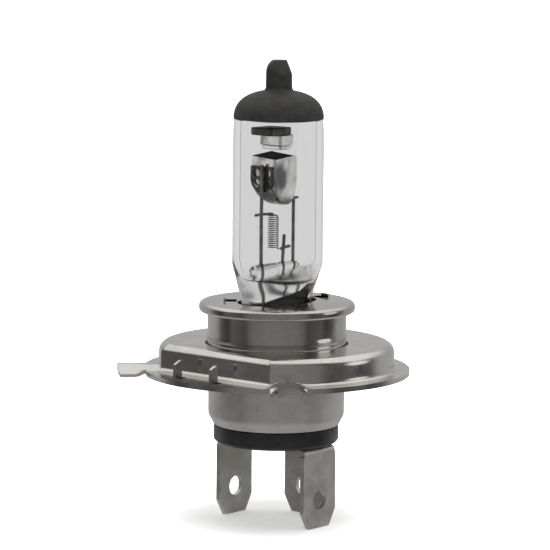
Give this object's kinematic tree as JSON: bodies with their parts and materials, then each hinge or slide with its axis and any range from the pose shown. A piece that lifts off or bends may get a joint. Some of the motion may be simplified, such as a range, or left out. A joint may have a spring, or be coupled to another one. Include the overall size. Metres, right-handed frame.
{
  "type": "headlight bulb",
  "caption": "Two-filament halogen headlight bulb: clear glass tube with a black tip on a domed, lugged metal cap, with a black insulator and flat terminals.",
  "frame": {"origin": "on the bulb's axis, in the front face of the cap's rim, which is what the headlight's seat touches", "axes": "+Z along the bulb's axis to the glass tip; +Y towards the wide lug; +X completes a right-handed frame, towards the high-beam terminal"},
  "size_m": [0.043, 0.0472, 0.0747],
  "materials": {
    "plated_steel": "polished nickel-plated steel",
    "satin_steel": "satin, finely speckled",
    "insulator": "black moulded, slightly glossy",
    "terminal_metal": "stamped, rolled grain",
    "solder": "dull solder",
    "clear_glass": "clear drawn glass",
    "black_coating": "matte heat-resistant coating",
    "molybdenum": "drawn wire and foil",
    "molybdenum_sheet": "bright rolled sheet",
    "tungsten": "drawn coil wire"
  },
  "bodies": {
    "root": {"prefocus_ring": "plated_steel", "upper_sleeve": "plated_steel", "top_plate": "plated_steel", "pinch_clip": "satin_steel", "base_shell": "satin_steel", "insulator_disc": "insulator", "high_beam_terminal": "terminal_metal", "common_terminal": "terminal_metal", "low_beam_terminal": "terminal_metal", "high_beam_solder_joint": "solder", "common_solder_joint": "solder", "low_beam_solder_joint": "solder", "glass_envelope": "clear_glass", "tip_coating": "black_coating", "common_foil": "molybdenum", "high_beam_foil": "molybdenum", "low_beam_foil": "molybdenum", "common_outer_lead": "molybdenum", "high_beam_outer_lead": "molybdenum", "low_beam_outer_lead": "molybdenum", "shield_support_wire": "molybdenum", "low_beam_inner_lead": "molybdenum", "high_beam_inner_lead": "molybdenum", "quartz_bridge": "clear_glass", "high_beam_filament": "tungsten", "low_beam_filament": "tungsten", "low_beam_shield": "molybdenum_sheet", "shield_weld_plate": "molybdenum_sheet", "shield_baffle": "molybdenum_sheet"}
  },
  "joints": []
}
